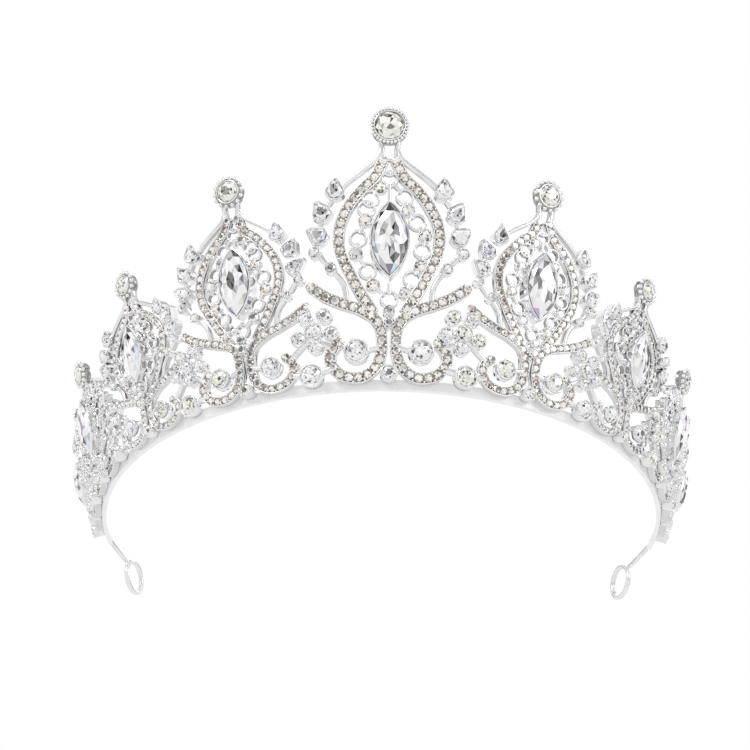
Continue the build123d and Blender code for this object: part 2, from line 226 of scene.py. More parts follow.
def plateFinish(name, look, roughLift=0.0, metallic=1.0, bumpiness=0.12):
    # polished silver plate over a casting
    finish, nodes, links, shader = newFinish(name)
    shader.inputs["Metallic"].default_value = metallic
    where = nodes.new("ShaderNodeTexCoord")
    patches = nodes.new("ShaderNodeTexNoise")
    patches.inputs["Scale"].default_value = look["grain"]
    patches.inputs["Detail"].default_value = 4.0
    links.new(where.outputs["Object"], patches.inputs["Vector"])
    tint = addRamp(nodes, [(0.28, look["dull"]), (0.55, look["bright"]), (0.8, (0.97, 0.97, 0.97))])
    links.new(patches.outputs["Fac"], tint.inputs["Fac"])
    # painted shade: faces marked in the mesh take the dark colour in that share
    recess = nodes.new("ShaderNodeAttribute")
    recess.attribute_name = "paintedLight"
    paintedShade = nodes.new("ShaderNodeMix")
    paintedShade.data_type = "RGBA"
    paintedShade.inputs[7].default_value = (*look["paintedShade"], 1)
    links.new(recess.outputs["Fac"], paintedShade.inputs[0])
    links.new(tint.outputs["Color"], paintedShade.inputs[6])
    links.new(paintedShade.outputs[2], shader.inputs["Base Color"])
    rough = nodes.new("ShaderNodeMapRange")
    rough.inputs["From Min"].default_value = 0.3
    rough.inputs["From Max"].default_value = 0.7
    rough.inputs["To Min"].default_value = look["smoothest"] + roughLift
    rough.inputs["To Max"].default_value = look["roughest"] + roughLift
    links.new(patches.outputs["Fac"], rough.inputs["Value"])
    links.new(rough.outputs["Result"], shader.inputs["Roughness"])
    pits = nodes.new("ShaderNodeTexNoise")
    pits.inputs["Scale"].default_value = look["pitting"]
    pits.inputs["Detail"].default_value = 3.0
    links.new(where.outputs["Object"], pits.inputs["Vector"])
    bump = nodes.new("ShaderNodeBump")
    bump.inputs["Strength"].default_value = bumpiness
    bump.inputs["Distance"].default_value = look["pitDepth"]
    links.new(pits.outputs["Fac"], bump.inputs["Height"])
    links.new(bump.outputs["Normal"], shader.inputs["Normal"])
    return finish


glassLook = {"foil": 0.75, "roughness": 0.05, "ior": 1.6, "coatRoughness": 0.02}


def stoneFinish(name, stops, otherStops=None):
    # cut glass over foil: each facet is painted with a reflection of its own, light, dark or a coloured
    # flash, shifted from stone to stone;
    # with other stops, half of the stones take those instead
    finish, nodes, links, shader = newFinish(name)
    shader.inputs["Metallic"].default_value = glassLook["foil"]
    shader.inputs["Roughness"].default_value = glassLook["roughness"]
    shader.inputs["IOR"].default_value = glassLook["ior"]
    shader.inputs["Coat Weight"].default_value = 1.0
    shader.inputs["Coat Roughness"].default_value = glassLook["coatRoughness"]
    paintedLight = nodes.new("ShaderNodeAttribute")
    paintedLight.attribute_name = "paintedLight"
    shade = nodes.new("ShaderNodeAttribute")
    shade.attribute_name = "shade"
    total = nodes.new("ShaderNodeMath")
    total.operation = "ADD"
    links.new(paintedLight.outputs["Fac"], total.inputs[0])
    links.new(shade.outputs["Fac"], total.inputs[1])
    wrap = nodes.new("ShaderNodeMath")
    wrap.operation = "FRACT"
    links.new(total.outputs["Value"], wrap.inputs[0])
    ramp = addRamp(nodes, stops)
    ramp.color_ramp.interpolation = "CONSTANT"
    links.new(wrap.outputs["Value"], ramp.inputs["Fac"])
    links.new(ramp.outputs["Color"], shader.inputs["Base Color"])
    if otherStops:
        other = addRamp(nodes, otherStops)
        other.color_ramp.interpolation = "CONSTANT"
        links.new(wrap.outputs["Value"], other.inputs["Fac"])
        half = nodes.new("ShaderNodeMath")
        half.operation = "GREATER_THAN"
        half.inputs[1].default_value = 0.5
        links.new(shade.outputs["Fac"], half.inputs[0])
        choice = nodes.new("ShaderNodeMix")
        choice.data_type = "RGBA"
        links.new(half.outputs["Value"], choice.inputs[0])
        links.new(ramp.outputs["Color"], choice.inputs[6])
        links.new(other.outputs["Color"], choice.inputs[7])
        links.new(choice.outputs[2], shader.inputs["Base Color"])
    return finish


# warm stones: the champagne tint is their own colour; the light, mid and dark facets are painted
# reflections
warmTintAndPaintedFacets = [
    (0.0, (0.97, 0.96, 0.9)), (0.2, (0.82, 0.81, 0.72)), (0.38, (0.99, 0.98, 0.96)),
    (0.55, (0.55, 0.52, 0.45)), (0.65, (0.93, 0.93, 0.9)), (0.8, (0.2, 0.18, 0.15)),
    (0.86, (0.88, 0.86, 0.78)), (0.95, (0.08, 0.075, 0.065)),
]

finishes = {
    "castPlate": plateFinish("castPlate", silverPlate),
    "settingPlate": plateFinish("settingPlate", silverPlate, -0.02),
    "rimPlate": plateFinish("rimPlate", rimPaintedBrightLook, 0.2, 0.35),
    "wirePlate": plateFinish("wirePlate", silverPlate, 0.04, 1.0, 0.02),
    # facet colours of the clear stones: painted reflections, with dark facets and violet and blue painted
    # flashes
    "clearStone": stoneFinish("clearStone", [
        (0.0, (0.99, 0.99, 1.0)), (0.2, (0.84, 0.84, 0.88)), (0.38, (0.99, 0.98, 0.96)),
        (0.55, (0.6, 0.59, 0.64)), (0.65, (0.95, 0.95, 0.97)), (0.8, (0.26, 0.25, 0.27)),
        (0.86, (0.86, 0.83, 0.74)), (0.92, (0.6, 0.46, 0.72)), (0.94, (0.09, 0.085, 0.085)),
        (0.975, (0.72, 0.86, 0.96)),
    ], warmTintAndPaintedFacets),
    "warmStone": stoneFinish("warmStone", warmTintAndPaintedFacets),
    # facet colours of the pave stones: light, mid and dark painted reflections
    "paveStone": stoneFinish("paveStone", [
        (0.0, (0.98, 0.96, 0.93)), (0.24, (0.84, 0.78, 0.71)), (0.4, (0.98, 0.96, 0.94)),
        (0.56, (0.55, 0.48, 0.42)), (0.68, (0.94, 0.9, 0.85)), (0.84, (0.2, 0.165, 0.14)),
        (0.91, (0.95, 0.93, 0.91)),
    ]),
}
print("finishes made")


# Small shapes, one millimetre in radius, that the nodes repeat.

def meshFrom(name, points, faces, paintedLights=None, smooth=False):
    # one number per face: which painted reflection a facet shows, or how much painted shade darkens a
    # recess
    mesh = bpy.data.meshes.new(name)
    mesh.from_pydata([Vector(point) * mm for point in points], [], faces)
    if paintedLights:
        mesh.attributes.new("paintedLight", "FLOAT", "FACE").data.foreach_set("value", paintedLights)
    for face in mesh.polygons:
        face.use_smooth = smooth
    return mesh


def loopFaces(start, above, count):
    return [(start + i, start + (i + 1) % count, above + (i + 1) % count, above + i) for i in range(count)]


# how much painted shade the shaded sides of a ring get
recessPaintedShade = 0.8


def ringShape(name, profile, count, dark=()):
    # a turned ring from a closed outline of radius and height; the dark sides get painted shade
    points = []
    for radius, height in profile:
        for step in range(count):
            turn = 2 * math.pi * step / count
            points.append((radius * math.cos(turn), radius * math.sin(turn), height))
    faces = []
    paintedLights = []
    for level in range(len(profile)):
        above = (level + 1) % len(profile)
        faces += loopFaces(level * count, above * count, count)
        paintedLights += [recessPaintedShade if level in dark else 0.0] * count
    return meshFrom(name, points, faces, paintedLights, smooth=True)


def cutOutline(outline, levels, seed, name):
    # a faceted stone: the outline shrinks from level to level, then meets at a point
    count = len(outline)
    points = []
    for share, height, shift in levels:
        for index in range(count):
            one = Vector(outline[index])
            other = Vector(outline[(index + 1) % count])
            spot = one.lerp(other, shift) * share
            points.append((spot.x, spot.y, height))
    faces = []
    for level in range(len(levels) - 1):
        low = level * count
        high = (level + 1) * count
        shifted = levels[level + 1][2] > levels[level][2]
        for i in range(count):
            n = (i + 1) % count
            if levels[level + 1][2] == levels[level][2]:
                faces.append((low + i, low + n, high + n, high + i))
            elif shifted:
                faces.append((low + i, low + n, high + i))
                faces.append((low + n, high + n, high + i))
            else:
                faces.append((low + i, high + n, high + i))
                faces.append((low + i, low + n, high + n))
    top = len(points)
    points.append((0, 0, levels[-1][1]))
    last = (len(levels) - 1) * count
    faces += [(last + i, last + (i + 1) % count, top) for i in range(count)]
    faces.append(tuple(reversed(range(count))))
    # each facet draws a number that picks its painted reflection from the stone's colours
    chance = random.Random(seed)
    return meshFrom(name, points, faces, [chance.random() for face in faces])


def roundOutline(count):
    return [(math.cos(2 * math.pi * i / count), math.sin(2 * math.pi * i / count)) for i in range(count)]


def lensOutline(length, width, count):
    # a pointed oval from two arcs
    radius = (length**2 + width**2) / (4 * width)
    sweep = math.asin(length / 2 / radius)
    half = count // 2
    right = []
    for step in range(half):
        turn = -sweep + 2 * sweep * step / half
        right.append((radius * math.cos(turn) - radius + width / 2, radius * math.sin(turn)))
    return right + [(-x, -y) for x, y in right]


def dropOutline(length, width, count):
    # round below, nearly straight sides meeting in a point above
    radius = width / 2
    tip = length - radius
    half = count // 2
    low = [(-radius * math.cos(math.pi * step / half), -radius * math.sin(math.pi * step / half))
           for step in range(half)]
    right = [(radius * (1 - step / half) ** leafLook["taper"], tip * step / half)
             for step in range(half + 1)]
    left = [(-x, y) for x, y in reversed(right[1:-1])]
    return low + right + left


small = {
    "roundStone": cutOutline(roundOutline(8), [
        (0.98, -0.3, 0), (1.0, 0, 0), (0.86, 0.26, 0.5), (0.6, 0.44, 1.0)], 3, "roundStone"),
    "topStone": cutOutline(roundOutline(12), [
        (0.98, -0.3, 0), (1.0, 0, 0), (0.88, 0.2, 0.5), (0.68, 0.38, 1.0), (0.4, 0.5, 1.5),
    ], 8, "topStone"),
    "paveStone": cutOutline(roundOutline(7), [(1.0, 0, 0), (0.6, 0.45, 0.5)], 5, "paveStone"),
    # the cup's inner lip and inside, and the open ring's outer and inner walls, get painted shade
    "cup": ringShape("cup", [(0.5, -1.25), (1.14, -1.25), (1.2, -1.1), (1.2, 1.15), (1.16, 1.32),
                             (1.08, 1.38), (1.0, 1.3), (0.97, 1.1), (0.9, 0.9), (0.5, 0.8)], 20, (6, 7, 8)),
    "openRing": ringShape("openRing", [(0.86, -1.1), (1.2, -1.1), (1.24, -0.9), (1.24, -0.1), (1.2, 0.08),
                                       (1.05, 0.16), (0.9, 0.08), (0.86, -0.1)], 20, (2, 6, 7)),
}
beadShape = bmesh.new()
bmesh.ops.create_icosphere(beadShape, subdivisions=1, radius=mm)
small["bead"] = bpy.data.meshes.new("bead")
beadShape.to_mesh(small["bead"])
beadShape.free()
for face in small["bead"].polygons:
    face.use_smooth = True


# The node tree that sets one small shape on many places.

def newTree(name, sockets):
    # a node group with named inputs that gives one mesh
    tree = bpy.data.node_groups.new(name, "GeometryNodeTree")
    for label, kind in sockets:
        tree.interface.new_socket(label, in_out="INPUT", socket_type=f"NodeSocket{kind}")
    tree.interface.new_socket("Result", in_out="OUTPUT", socket_type="NodeSocketGeometry")
    return tree, tree.nodes, tree.links.new, tree.nodes.new("NodeGroupInput")


def readAttribute(nodes, name, kind):
    reader = nodes.new("GeometryNodeInputNamedAttribute")
    reader.data_type = kind
    reader.inputs["Name"].default_value = name
    return reader.outputs["Attribute"]


def endTree(nodes, link, made, given):
    real = nodes.new("GeometryNodeRealizeInstances")
    link(made, real.inputs["Geometry"])
    finish = nodes.new("GeometryNodeSetMaterial")
    link(real.outputs["Geometry"], finish.inputs["Geometry"])
    link(given.outputs["Finish"], finish.inputs["Material"])
    result = nodes.new("NodeGroupOutput")
    link(finish.outputs["Geometry"], result.inputs["Result"])


def runTree(tree, base, pattern, values):
    # gives the plain mesh that the tree makes from a base mesh and a pattern mesh
    holder = bpy.data.objects.new("holder", base)
    repeated = bpy.data.objects.new("pattern", pattern)
    bpy.context.collection.objects.link(holder)
    bpy.context.collection.objects.link(repeated)
    step = holder.modifiers.new("tree", "NODES")
    step.node_group = tree
    for item in tree.interface.items_tree:
        if item.in_out == "INPUT" and item.name in values:
            step[item.identifier] = values[item.name]
        elif item.in_out == "INPUT" and item.name == "Pattern":
            step[item.identifier] = repeated
    graph = bpy.context.evaluated_depsgraph_get()
    mesh = bpy.data.meshes.new_from_object(holder.evaluated_get(graph))
    bpy.data.objects.remove(holder)
    bpy.data.objects.remove(repeated)
    return mesh


def buildSetter():
    # sets one small shape on many places, each with a shade of its own
    tree, nodes, link, given = newTree("setOnPlaces", [
        ("Places", "Geometry"), ("Pattern", "Object"), ("Finish", "Material"), ("Seed", "Int")])
    shape = nodes.new("GeometryNodeObjectInfo")
    link(given.outputs["Pattern"], shape.inputs["Object"])
    rotation = nodes.new("FunctionNodeEulerToRotation")
    link(readAttribute(nodes, "turn", "FLOAT_VECTOR"), rotation.inputs["Euler"])
    place = nodes.new("GeometryNodeInstanceOnPoints")
    link(given.outputs["Places"], place.inputs["Points"])
    link(shape.outputs["Geometry"], place.inputs["Instance"])
    link(rotation.outputs["Rotation"], place.inputs["Rotation"])
    link(readAttribute(nodes, "size", "FLOAT_VECTOR"), place.inputs["Scale"])
    chance = nodes.new("FunctionNodeRandomValue")
    link(given.outputs["Seed"], chance.inputs["Seed"])
    shade = nodes.new("GeometryNodeStoreNamedAttribute")
    shade.domain = "INSTANCE"
    shade.inputs["Name"].default_value = "shade"
    link(place.outputs["Instances"], shade.inputs["Geometry"])
    link(chance.outputs[1], shade.inputs["Value"])
    endTree(nodes, link, shade.outputs["Geometry"], given)
    return tree


setter = buildSetter()


def setShapes(shape, places, finish, seed=1):
    # places are (matrix, size)
    spots = bpy.data.meshes.new("places")
    spots.from_pydata([place.translation for place, size in places], [], [])
    turns = spots.attributes.new("turn", "FLOAT_VECTOR", "POINT")
    sizes = spots.attributes.new("size", "FLOAT_VECTOR", "POINT")
    turns.data.foreach_set("vector", [v for place, size in places for v in place.to_euler()])
    sizes.data.foreach_set("vector", [v for place, size in places for v in size])
    return runTree(setter, spots, small[shape], {"Finish": finish, "Seed": seed})


def addPiece(name, meshes, finish, nodes):
    # joins meshes into one finished piece that stands for the named nodes
    joined = bmesh.new()
    for mesh in meshes:
        joined.from_mesh(mesh)
    bmesh.ops.recalc_face_normals(joined, faces=joined.faces)
    final = bpy.data.meshes.new(name)
    joined.to_mesh(final)
    joined.free()
    final.materials.clear()
    final.materials.append(finish)
    piece = bpy.data.objects.new(name, final)
    bpy.context.collection.objects.link(piece)
    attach(piece, "root")
    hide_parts(*nodes)


# Cast bands and wires.

bandLook = {
    "paveWidth": 2.7,
    "wireWidth": 1.3,
    "back": -1.35,
    "lip": 0.36,               # raised edge of a band beside its stones
    "floor": 0.1,
    "edgePitch": 0.55,
    "edgeRadius": 0.26,
    "tieWidth": 0.85,
    "barWidth": 1.6,
    "step": 0.8,               # between the rings of points of a band
    "paveLeast": 0.72,         # smallest scale of a band, a wire and a bar
    "wireLeast": 0.8,
    "barLeast": 0.7,
    "edgeLift": 0.3,
    "edgeShare": 0.42,         # of a wire's width, from its middle to its row of beads
    "tieInset": 1.3,           # a tie stops this far from the middle of what it holds
    "tieShare": 0.4,           # or this share of its own length
    "tieShortest": 0.5,
    "barEnd": 0.98,            # of the panel's half width
    "highBar": (12.0, (12.4, 9.0)),   # height at the joint, then where it meets the curl
    "lowBar": (3.0, (12.6, 4.4)),
}


def channelProfile(width):
    # a strip with a raised edge each side: across, out of the wall, painted shade (full on the floor
    # between the edges, some on the sides)
    half = width / 2
    lip = bandLook["lip"]
    low = bandLook["back"]
    left = [(-half, low, 0.0), (-half, low + 0.1, 0.4), (-half, 0.24, 0.1), (-half + 0.08, lip, 0.0),
            (-half + 0.22, lip, 0.0), (-half + 0.3, bandLook["floor"], 1.0)]
    return left + [(-across, out, paintedShade) for across, out, paintedShade in reversed(left)]


def wireProfile(width):
    # a rounded wire with a flat back; painted shade on its sides just above the back
    half = width / 2
    low = bandLook["back"] + 0.15
    crest = [(-half * math.cos(math.radians(turn)), half * 0.75 * math.sin(math.radians(turn)), 0.0)
             for turn in range(0, 181, 30)]
    return [(-half * 0.8, low, 0.0), (-half * 0.82, low + 0.1, 0.8)] + crest + [
        (half * 0.82, low + 0.1, 0.8), (half * 0.8, low, 0.0)]


def buildSweeper():
    # carries a profile along lines, with its top always facing out of the wall
    tree, nodes, link, given = newTree("profileAlongLines", [
        ("Lines", "Geometry"), ("Pattern", "Object"), ("Finish", "Material")])
    lines = nodes.new("GeometryNodeMeshToCurve")
    link(given.outputs["Lines"], lines.inputs["Mesh"])
    normal = nodes.new("GeometryNodeSetCurveNormal")
    normal.mode = "FREE"
    link(lines.outputs["Curve"], normal.inputs["Curve"])
    link(readAttribute(nodes, "facing", "FLOAT_VECTOR"), normal.inputs["Normal"])
    shape = nodes.new("GeometryNodeObjectInfo")
    link(given.outputs["Pattern"], shape.inputs["Object"])
    outline = nodes.new("GeometryNodeMeshToCurve")
    link(shape.outputs["Geometry"], outline.inputs["Mesh"])
    sweep = nodes.new("GeometryNodeCurveToMesh")
    link(normal.outputs["Curve"], sweep.inputs["Curve"])
    link(outline.outputs["Curve"], sweep.inputs["Profile Curve"])
    sweep.inputs["Fill Caps"].default_value = True
    # each face of a band keeps the painted shade of its place in the profile
    paintedLight = nodes.new("GeometryNodeStoreNamedAttribute")
    paintedLight.domain = "FACE"
    paintedLight.inputs["Name"].default_value = "paintedLight"
    link(sweep.outputs["Mesh"], paintedLight.inputs["Geometry"])
    link(readAttribute(nodes, "paintedShade", "FLOAT"), paintedLight.inputs["Value"])
    endTree(nodes, link, paintedLight.outputs["Geometry"], given)
    return tree


sweeper = buildSweeper()


def sweepBands(panel, lines, profile):
    # carries one profile along lines drawn on the wall; lines are in real millimetres
    points = []
    facings = []
    edges = []
    for line in lines:
        edges += [(len(points) + step, len(points) + step + 1) for step in range(len(line) - 1)]
        for x, height in line:
            place = wallPlace(panel["angle"], x * panel["side"], height)
            points.append(place.translation)
            facings += list(place.col[2].to_3d())
    path = bpy.data.meshes.new("lines")
    path.from_pydata(points, edges, [])
    path.attributes.new("facing", "FLOAT_VECTOR", "POINT").data.foreach_set("vector", facings)
    outline = bpy.data.meshes.new("profile")
    count = len(profile)
    outline.from_pydata([Vector((out, across, 0)) * mm for across, out, paintedShade in profile],
                        [(step, (step + 1) % count) for step in range(count)], [])
    # the profile's painted shade, one value a point
    paintedShades = outline.attributes.new("paintedShade", "FLOAT", "POINT")
    paintedShades.data.foreach_set("value", [paintedShade for across, out, paintedShade in profile])
    return runTree(sweeper, path, outline, {"Finish": finishes["castPlate"]})


def scaledLine(panel, points, flip=1):
    return [(x * panel["across"] * flip, height * panel["up"]) for x, height in (p[:2] for p in points)]


def underMarquise(panel, x, height, radius):
    # true where the long stone's setting covers a small stone
    length = ring["marquiseLengths"][panel["index"]]
    width = ring["marquiseWidths"][panel["index"]]
    bend = (length ** 2 + width ** 2) / (4 * width)
    away = abs(height - ring["marquiseHeights"][panel["index"]])
    reach = marquiseLook["cover"] * radius + marquiseLook["wall"]
    if away > length / 2:
        return away < length / 2 + reach and abs(x) < reach
    return abs(x) < math.sqrt(bend ** 2 - away ** 2) - bend + width / 2 + reach


def chainSpots(panel):
    # the small stones and open rings round the marquise: x, height, kind, radius
    spots = []
    for x, height, kind in (motif["leftChain"] + motif["rightChain"]
                            + [motif["topRing"], motif["crestRing"], motif["bottomRing"]]):
        if kind == "stone":
            radius = max(motif["filigreeRadius"] * panel["small"], motif["filigreeLeast"])
        else:
            radius = motif["ringRadius"] * max(panel["small"], motif["ringLeast"])
        x, height = x * panel["across"], height * panel["up"]
        if kind == "stone" and underMarquise(panel, x, height, radius):
            kind = "covered"
        spots.append((x, height, kind, radius))
    return spots


def castPanel(panel):
    index = panel["index"]
    paveWidth = bandLook["paveWidth"] * max(panel["small"], bandLook["paveLeast"])
    wireWidth = bandLook["wireWidth"] * max(panel["small"], bandLook["wireLeast"])
    barWidth = bandLook["barWidth"] * max(panel["small"], bandLook["barLeast"])
    paveLines = []
    wireLines = []
    for flip in (1, -1):
        for points in (motif["ogee"], motif["scroll"]):
            paveLines.append(smoothLine(scaledLine(panel, points, flip), bandLook["step"]))
        for points in motif["wires"].values():
            wireLines.append(smoothLine(scaledLine(panel, points, flip), bandLook["step"]))

    # bars that tie the filigree together and hang the marquise
    spots = chainSpots(panel)
    top, crest, bottom = spots[-3:]
    chains = [[top] + spots[:8] + [bottom], [top] + spots[8:16] + [bottom], [crest, top]]
    middle = ring["marquiseHeights"][index]
    reach = ring["marquiseLengths"][index] / 2
    ties = [((0, middle + reach), top[:2]), ((0, middle - reach), bottom[:2])]
    for chain in chains:
        ties += [(one[:2], other[:2]) for one, other in zip(chain, chain[1:])]
    tieLines = []
    for one, other in ties:
        run = Vector(other) - Vector(one)
        if run.length > bandLook["tieShortest"]:
            inset = min(bandLook["tieInset"] * panel["small"], run.length * bandLook["tieShare"])
            start = Vector(one) + run.normalized() * inset
            end = Vector(other) - run.normalized() * inset
            tieLines.append([start, (start + end) / 2, end])

    # bars from the curls to both joints
    barLines = []
    for flip, edge in ((-1, index - 1), (1, index)):
        shown = ring["clusterScales"][max(edge, 0)]
        half = panel["halfWidth"] * flip
        for (start, end), scale in ((bandLook["highBar"], shown), (bandLook["lowBar"], 1.0)):
            bar = [(half * bandLook["barEnd"], start * scale),
                   (end[0] * panel["across"] * flip, end[1] * panel["up"])]
            barLines.append(smoothLine(bar, 1.0))
    parts = [
        sweepBands(panel, paveLines, channelProfile(paveWidth)),
        sweepBands(panel, wireLines, wireProfile(wireWidth)),
        sweepBands(panel, tieLines, wireProfile(bandLook["tieWidth"])),
        sweepBands(panel, barLines, wireProfile(barWidth)),
    ]

    # a row of tiny beads on the outer edge of each neck strip
    edging = []
    for flip in (1, -1):
        for x, height in smoothLine(scaledLine(panel, motif["wires"]["neck"], flip), bandLook["edgePitch"]):
            spot = x + flip * wireWidth * bandLook["edgeShare"]
            place = wallPlace(panel["angle"], spot * panel["side"], height, bandLook["edgeLift"])
            edging.append((place, (bandLook["edgeRadius"],) * 3))
    parts.append(setShapes("bead", edging, finishes["castPlate"]))

    rings = []
    for x, height, kind, radius in spots:
        if kind == "ring":
            rings.append((wallPlace(panel["angle"], x * panel["side"], height), (radius, radius, 1)))
    parts.append(setShapes("openRing", rings, finishes["castPlate"]))
    node = f"{panel['label']}_frame"
    addPiece(f"{node}_casting", parts, finishes["castPlate"], [node])


# Top settings and the long marquise settings.

finialLook = {
    "beads": 14, "beadRadius": 0.62, "beadReach": 0.9, "beadHeight": 0.75,
    "milgrain": 30, "milgrainRadius": 0.47, "milgrainReach": 0.72, "milgrainHeight": 1.1,
    "sides": 40, "seatHeight": 1.3, "dome": 0.75, "stoneTurn": 11, "seed": 7,
}


def makeFinial(panel):
    radius = ring["finialRadii"][panel["index"]]
    top = wallPlace(panel["angle"], 0, ring["finialHeights"][panel["index"]])
    # the bezel's outer wall, its ledge and its inner lip get painted shade
    wall = ringShape("bezel", [
        (0.02, -1.3), (radius + 0.75, -1.3), (radius + 0.85, -1.1), (radius + 0.85, 0.75),
        (radius + 0.45, 0.85), (radius + 0.35, 1.3), (radius + 0.22, 1.45), (radius + 0.05, 1.42),
        (radius - 0.1, 1.2), (0.02, 0.9)], finialLook["sides"], (2, 3, 4, 7, 8))
    wall.transform(top)
    grand = panel["index"] == 0
    count = finialLook["milgrain"] if grand else finialLook["beads"]
    size = finialLook["milgrainRadius"] if grand else finialLook["beadRadius"]
    reach = radius + finialLook["milgrainReach" if grand else "beadReach"]
    level = finialLook["milgrainHeight" if grand else "beadHeight"]
    beads = []
    for step in range(count):
        turn = 2 * math.pi * step / count
        spot = Vector((reach * math.cos(turn), reach * math.sin(turn), level)) * mm
        beads.append((top @ Matrix.Translation(spot), (size, size, size)))
    parts = [wall, setShapes("bead", beads, finishes["settingPlate"])]
    node = f"{panel['label']}_finial_cup"
    addPiece(f"{node}_setting", parts, finishes["settingPlate"], [node])
    seat = top @ Matrix.Translation(Vector((0, 0, finialLook["seatHeight"])) * mm)
    size = (radius, radius, radius * finialLook["dome"])
    stone = setShapes("topStone", [(turned(seat, finialLook["stoneTurn"]), size)],
                      finishes["warmStone"], finialLook["seed"] + panel["index"])
    node = f"{panel['label']}_finial_stone"
    addPiece(f"{node}_cut", [stone], finishes["warmStone"], [node])


marquiseLook = {
    "wall": 0.48, "cupHeight": 2.3, "slim": 0.94, "crown": 0.2, "cutSeed": 26,
    "tipGrowth": 2.6,          # how much longer the cup is, in wall thicknesses
    "cover": 0.6,              # share of a small stone's radius that must stay clear of the cup
}


def cupWall(name, levels, outlineOf, place):
    # a solid wall of outlines, one for each (growth, height), closed below and above
    points = []
    for grow, level in levels:
        points += [(x, y, level) for x, y in outlineOf(grow)]
    count = len(points) // len(levels)
    faces = []
    for level in range(len(levels) - 1):
        faces += loopFaces(level * count, (level + 1) * count, count)
    faces.append(tuple(reversed(range(count))))
    faces.append(tuple((len(levels) - 1) * count + i for i in range(count)))
    cup = meshFrom(name, points, faces)
    cup.transform(place)
    return cup


def makeMarquise(panel):
    index = panel["index"]
    length = ring["marquiseLengths"][index]
    width = ring["marquiseWidths"][index] * marquiseLook["slim"]
    place = wallPlace(panel["angle"], 0, ring["marquiseHeights"][index])
    wall = marquiseLook["wall"]
    high = marquiseLook["cupHeight"]
    levels = [(wall, -1.2), (wall, high - 0.35), (wall * 0.75, high - 0.05), (wall * 0.3, high),
              (0.0, high - 0.15), (-0.15, high - 0.6)]
    cup = cupWall("marquiseCup", levels, lambda grow: lensOutline(
        length + marquiseLook["tipGrowth"] * grow, width + 2 * grow, 48), place)
    node = f"{panel['label']}_marquise_cup"
    addPiece(f"{node}_setting", [cup], finishes["settingPlate"], [node])

    rise = marquiseLook["crown"] * width
    outline = lensOutline(length, width, 12)
    stone = cutOutline(outline, [
        (0.99, high - 0.6, 0), (0.99, high - 0.1, 0), (0.84, high + rise * 0.5, 0.5),
        (0.58, high + rise * 0.9, 1.0), (0.26, high + rise, 1.5),
    ], marquiseLook["cutSeed"] + index, "marquise")
    stone.transform(place)
    node = f"{panel['label']}_marquise_stone"
    addPiece(f"{node}_cut", [stone], finishes["clearStone"], [node])


# Pave rows, accent stones and their settings.

accentLook = {
    "paveRadius": 1.14, "pavePitch": 2.3, "paveLift": 0.12, "paveTurn": 37,
    "paveFoot": 0.35,          # a pave stone stays this far above the rim's foot
    "grainRadius": 0.3, "grainLift": 0.3, "grainReach": 0.78, "grainTall": 1.2,
    "filigreeLift": 0.15, "filigreeTurn": 20, "filigreeGrain": (0.34, 0.34, 0.42),
    "padSink": -0.5,           # the low cups under the filigree stones
    "cupLift": 1.25, "cupShare": 1.2, "cupWall": 0.5, "stoneTurn": 23,
    "grandRadius": 1.3,        # larger stones get more facets and six prongs
    "grandDome": 0.8, "clusterFuller": 1.28,
    "prongRadius": 0.36, "prongSmaller": 0.75, "prongReach": 1.06, "prongHeight": 1.36,
}


def accentPlaces(panel):
    # round settings and leaf settings of one panel
    rounds = []
    for x, height, radius in motif["middleRounds"]:
        size = max(radius * panel["small"], motif["roundLeast"])
        high = max(height * panel["up"], clearOfRest(size * accentLook["cupShare"]))
        if not underMarquise(panel, 0, high, size):
            rounds.append((wallPlace(panel["angle"], 0, high), size))
    leaves = []
    for flip in (1, -1):
        for x, height, radius in motif["rounds"]:
            size = max(radius * panel["small"], motif["roundLeast"])
            high = max(height * panel["up"], clearOfRest(size * accentLook["cupShare"]))
            across = x * panel["across"] * flip * panel["side"]
            rounds.append((wallPlace(panel["angle"], across, high), size))
        for x, height, lean in motif["leaves"]:
            place = panelPlace(panel, x * flip, height)
            size = max(panel["small"], leafLook["least"])
            leaves.append((turned(place, lean * flip * panel["side"]), size))
    return rounds, leaves


def jointPlaces(edge, side):
    angle = ring["edges"][edge] * side
    shown = ring["clusterScales"][edge]
    reach = (motif["jointRadius"] + accentLook["cupWall"]) * shown
    rounds = [(wallPlace(angle, 0, clearOfRest(reach)), motif["jointRadius"] * shown)]
    for x, height, radius in motif["cluster"]:
        rounds.append((wallPlace(angle, x * shown * side, height * shown),
                       radius * shown * accentLook["clusterFuller"]))
    return rounds


leafLook = {
    "length": 5.0, "width": 4.0, "taper": 0.72, "least": 0.6, "tipGrowth": 2.4,
    "wall": [(0.45, -1.2), (0.45, 1.15), (0.36, 1.4), (0.12, 1.45), (0.0, 1.3), (-0.2, 1.0)],
    "cut": [(0.98, 0.9, 0), (0.98, 1.3, 0), (0.8, 1.8, 0.5), (0.5, 2.1, 1.0)],
}


def makeLeaves(leaves, seed):
    cups = []
    stones = []
    for index, (place, size) in enumerate(leaves):
        length = leafLook["length"] * size
        width = leafLook["width"] * size
        cups.append(cupWall("leafCup", leafLook["wall"], lambda grow: dropOutline(
            length + grow * leafLook["tipGrowth"], width + grow * 2, 16), place))
        stone = cutOutline(dropOutline(length, width, 8), leafLook["cut"], seed + index, "leafStone")
        stone.transform(place)
        stones.append(stone)
    return cups, stones


